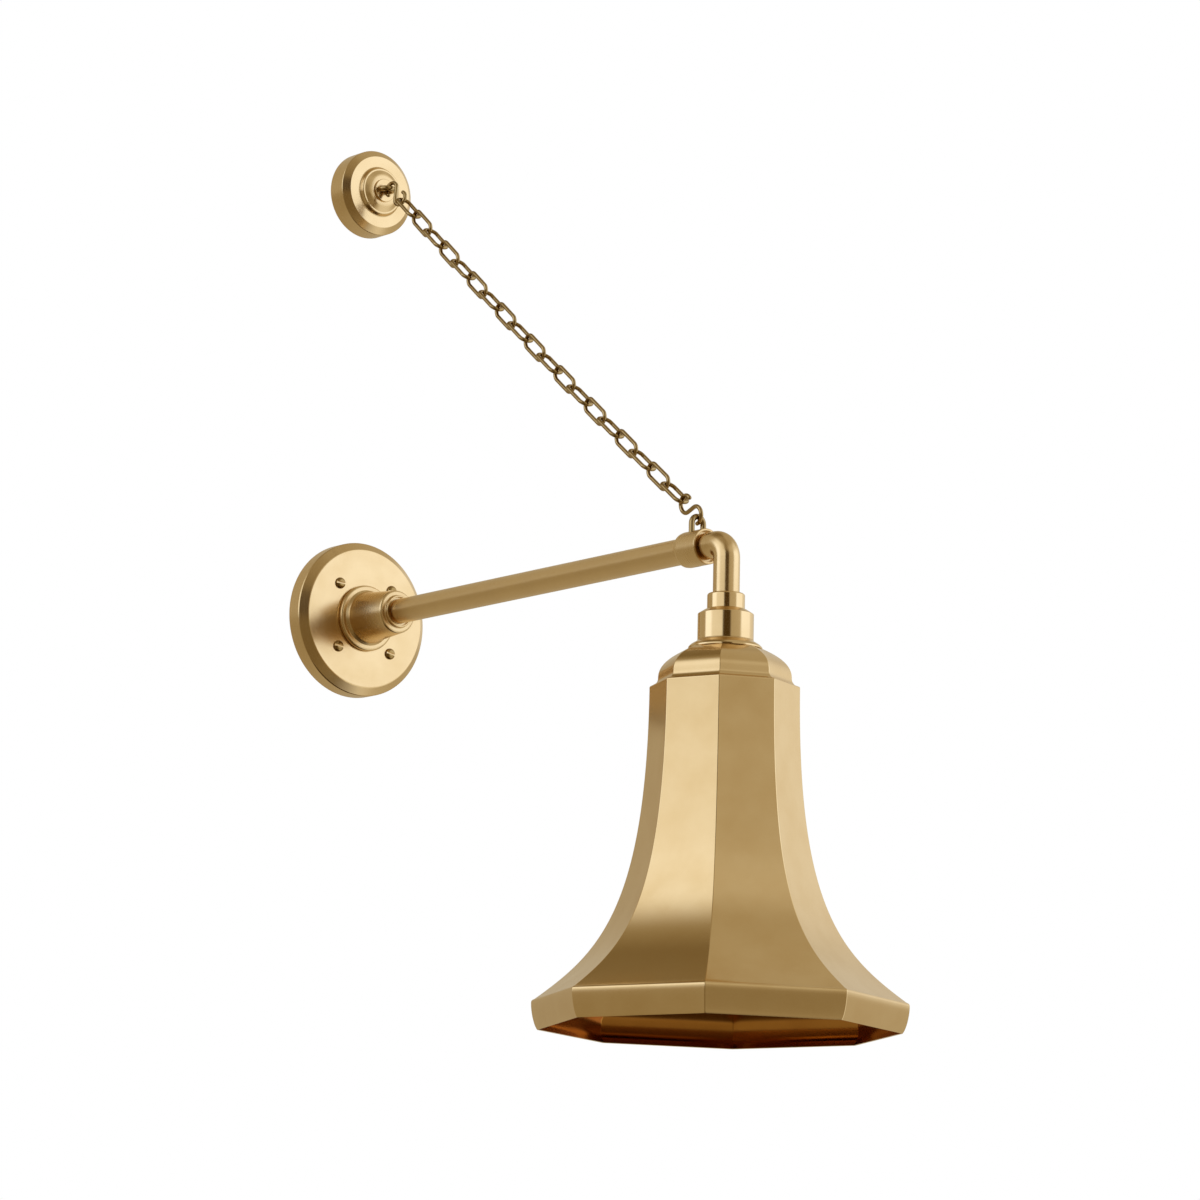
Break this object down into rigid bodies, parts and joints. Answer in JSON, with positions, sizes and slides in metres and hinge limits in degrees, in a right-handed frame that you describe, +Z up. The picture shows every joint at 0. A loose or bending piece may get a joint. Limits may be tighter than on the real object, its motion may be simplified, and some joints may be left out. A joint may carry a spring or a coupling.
{
  "type": "wall sconce",
  "caption": "Wall light with a straight brass arm, a chain stay from a small canopy above, and an eight-sided bell shade hanging below an elbow.",
  "frame": {"origin": "on the wall, on the arm's axis, midway between the two slots of the fixing plate", "axes": "+Z up, +Y into the wall, so the arm reaches along -Y and X runs along the wall"},
  "size_m": [0.2648, 0.5791, 0.7224],
  "materials": {
    "antique_brass": "antique brass, brushed satin under clear lacquer",
    "zinc_steel": "zinc-plated mild steel",
    "white_plastic": "moulded polyamide",
    "cable_sheath": "smooth flexible sheath",
    "porcelain": "glazed porcelain"
  },
  "bodies": {
    "wall_frame": {"wall_plate": "antique_brass", "fixing_plate": "zinc_steel", "plate_spacers": "zinc_steel", "plate_screws": "antique_brass", "earth_screw": "zinc_steel", "terminal_block": "white_plastic", "arm_boss": "antique_brass", "boss_nut": "zinc_steel", "arm_tube": "antique_brass", "arm_socket": "antique_brass", "stop_screw": "antique_brass", "lower_staple": "antique_brass", "canopy_base": "antique_brass", "canopy_cover": "antique_brass", "canopy_grub_screw": "antique_brass", "eye_disc": "antique_brass", "upper_staple": "antique_brass", "lead_in_arm": "cable_sheath"},
    "stay_chain": {"upper_hook": "antique_brass", "lower_hook": "antique_brass"},
    "drop": {"elbow": "antique_brass", "holder_cap": "antique_brass", "holder_shell": "antique_brass", "holder_nut": "zinc_steel", "shade_gallery": "antique_brass", "socket_insert": "porcelain", "insert_screws": "zinc_steel", "lamp_shell": "antique_brass", "lamp_contact": "antique_brass", "shade": "antique_brass", "shade_ring": "antique_brass", "lead_in_drop": "cable_sheath"},
    "chain_link_01": {"chain_link_01": "antique_brass"},
    "chain_link_02": {"chain_link_02": "antique_brass"},
    "chain_link_03": {"chain_link_03": "antique_brass"},
    "chain_link_04": {"chain_link_04": "antique_brass"},
    "chain_link_05": {"chain_link_05": "antique_brass"},
    "chain_link_06": {"chain_link_06": "antique_brass"},
    "chain_link_07": {"chain_link_07": "antique_brass"},
    "chain_link_08": {"chain_link_08": "antique_brass"},
    "chain_link_09": {"chain_link_09": "antique_brass"},
    "chain_link_10": {"chain_link_10": "antique_brass"},
    "chain_link_11": {"chain_link_11": "antique_brass"},
    "chain_link_12": {"chain_link_12": "antique_brass"},
    "chain_link_13": {"chain_link_13": "antique_brass"},
    "chain_link_14": {"chain_link_14": "antique_brass"},
    "chain_link_15": {"chain_link_15": "antique_brass"},
    "chain_link_16": {"chain_link_16": "antique_brass"},
    "chain_link_17": {"chain_link_17": "antique_brass"},
    "chain_link_18": {"chain_link_18": "antique_brass"},
    "chain_link_19": {"chain_link_19": "antique_brass"}
  },
  "joints": [
    {"name": "elbow_swivel", "type": "hinge", "parent": "wall_frame", "child": "drop", "pos_m": [0, -0.417, 0], "axis": [0, 1, 0], "range_deg": [-20, 20]},
    {"name": "chain_sway", "type": "hinge", "parent": "wall_frame", "child": "stay_chain", "pos_m": [0, -0.0346, 0.3411], "axis": [0, -0.7664, -0.6424], "range_deg": [-4, 10]},
    {"name": "twist_01", "type": "hinge", "parent": "stay_chain", "child": "chain_link_01", "pos_m": [0, -0.05877, 0.32039], "axis": [0, -0.7503, -0.6611], "range_deg": [-3.6, 3.6]},
    {"name": "twist_02", "type": "hinge", "parent": "stay_chain", "child": "chain_link_02", "pos_m": [0, -0.07669, 0.30464], "axis": [0, -0.7521, -0.659], "range_deg": [-7.2, 7.2]},
    {"name": "twist_03", "type": "hinge", "parent": "stay_chain", "child": "chain_link_03", "pos_m": [0, -0.09466, 0.28894], "axis": [0, -0.7539, -0.657], "range_deg": [-10.8, 10.8]},
    {"name": "twist_04", "type": "hinge", "parent": "stay_chain", "child": "chain_link_04", "pos_m": [0, -0.11267, 0.27329], "axis": [0, -0.7557, -0.6549], "range_deg": [-14.4, 14.4]},
    {"name": "twist_05", "type": "hinge", "parent": "stay_chain", "child": "chain_link_05", "pos_m": [0, -0.13072, 0.25769], "axis": [0, -0.7575, -0.6528], "range_deg": [-18, 18]},
    {"name": "twist_06", "type": "hinge", "parent": "stay_chain", "child": "chain_link_06", "pos_m": [0, -0.14881, 0.24214], "axis": [0, -0.7593, -0.6508], "range_deg": [-21.6, 21.6]},
    {"name": "twist_07", "type": "hinge", "parent": "stay_chain", "child": "chain_link_07", "pos_m": [0, -0.16695, 0.22664], "axis": [0, -0.7611, -0.6487], "range_deg": [-25.2, 25.2]},
    {"name": "twist_08", "type": "hinge", "parent": "stay_chain", "child": "chain_link_08", "pos_m": [0, -0.18513, 0.21119], "axis": [0, -0.7629, -0.6466], "range_deg": [-28.8, 28.8]},
    {"name": "twist_09", "type": "hinge", "parent": "stay_chain", "child": "chain_link_09", "pos_m": [0, -0.20334, 0.19579], "axis": [0, -0.7646, -0.6445], "range_deg": [-32.4, 32.4]},
    {"name": "twist_10", "type": "hinge", "parent": "stay_chain", "child": "chain_link_10", "pos_m": [0, -0.22161, 0.18044], "axis": [0, -0.7664, -0.6424], "range_deg": [-36, 36]},
    {"name": "twist_11", "type": "hinge", "parent": "stay_chain", "child": "chain_link_11", "pos_m": [0, -0.23991, 0.16514], "axis": [0, -0.7682, -0.6403], "range_deg": [-32.4, 32.4]},
    {"name": "twist_12", "type": "hinge", "parent": "stay_chain", "child": "chain_link_12", "pos_m": [0, -0.25826, 0.1499], "axis": [0, -0.7699, -0.6382], "range_deg": [-28.8, 28.8]},
    {"name": "twist_13", "type": "hinge", "parent": "stay_chain", "child": "chain_link_13", "pos_m": [0, -0.27664, 0.1347], "axis": [0, -0.7717, -0.636], "range_deg": [-25.2, 25.2]},
    {"name": "twist_14", "type": "hinge", "parent": "stay_chain", "child": "chain_link_14", "pos_m": [0, -0.29507, 0.11955], "axis": [0, -0.7734, -0.6339], "range_deg": [-21.6, 21.6]},
    {"name": "twist_15", "type": "hinge", "parent": "stay_chain", "child": "chain_link_15", "pos_m": [0, -0.31354, 0.10445], "axis": [0, -0.7751, -0.6318], "range_deg": [-18, 18]},
    {"name": "twist_16", "type": "hinge", "parent": "stay_chain", "child": "chain_link_16", "pos_m": [0, -0.33206, 0.0894], "axis": [0, -0.7769, -0.6296], "range_deg": [-14.4, 14.4]},
    {"name": "twist_17", "type": "hinge", "parent": "stay_chain", "child": "chain_link_17", "pos_m": [0, -0.35061, 0.07441], "axis": [0, -0.7786, -0.6275], "range_deg": [-10.8, 10.8]},
    {"name": "twist_18", "type": "hinge", "parent": "stay_chain", "child": "chain_link_18", "pos_m": [0, -0.36921, 0.05946], "axis": [0, -0.7803, -0.6254], "range_deg": [-7.2, 7.2]},
    {"name": "twist_19", "type": "hinge", "parent": "stay_chain", "child": "chain_link_19", "pos_m": [0, -0.38785, 0.04456], "axis": [0, -0.782, -0.6232], "range_deg": [-3.6, 3.6]}
  ],
  "couplings": [
    {"joint": "twist_01", "follows": "twist_10", "ratio": 0.1},
    {"joint": "twist_02", "follows": "twist_10", "ratio": 0.2},
    {"joint": "twist_03", "follows": "twist_10", "ratio": 0.3},
    {"joint": "twist_04", "follows": "twist_10", "ratio": 0.4},
    {"joint": "twist_05", "follows": "twist_10", "ratio": 0.5},
    {"joint": "twist_06", "follows": "twist_10", "ratio": 0.6},
    {"joint": "twist_07", "follows": "twist_10", "ratio": 0.7},
    {"joint": "twist_08", "follows": "twist_10", "ratio": 0.8},
    {"joint": "twist_09", "follows": "twist_10", "ratio": 0.9},
    {"joint": "twist_11", "follows": "twist_10", "ratio": 0.9},
    {"joint": "twist_12", "follows": "twist_10", "ratio": 0.8},
    {"joint": "twist_13", "follows": "twist_10", "ratio": 0.7},
    {"joint": "twist_14", "follows": "twist_10", "ratio": 0.6},
    {"joint": "twist_15", "follows": "twist_10", "ratio": 0.5},
    {"joint": "twist_16", "follows": "twist_10", "ratio": 0.4},
    {"joint": "twist_17", "follows": "twist_10", "ratio": 0.3},
    {"joint": "twist_18", "follows": "twist_10", "ratio": 0.2},
    {"joint": "twist_19", "follows": "twist_10", "ratio": 0.1}
  ]
}
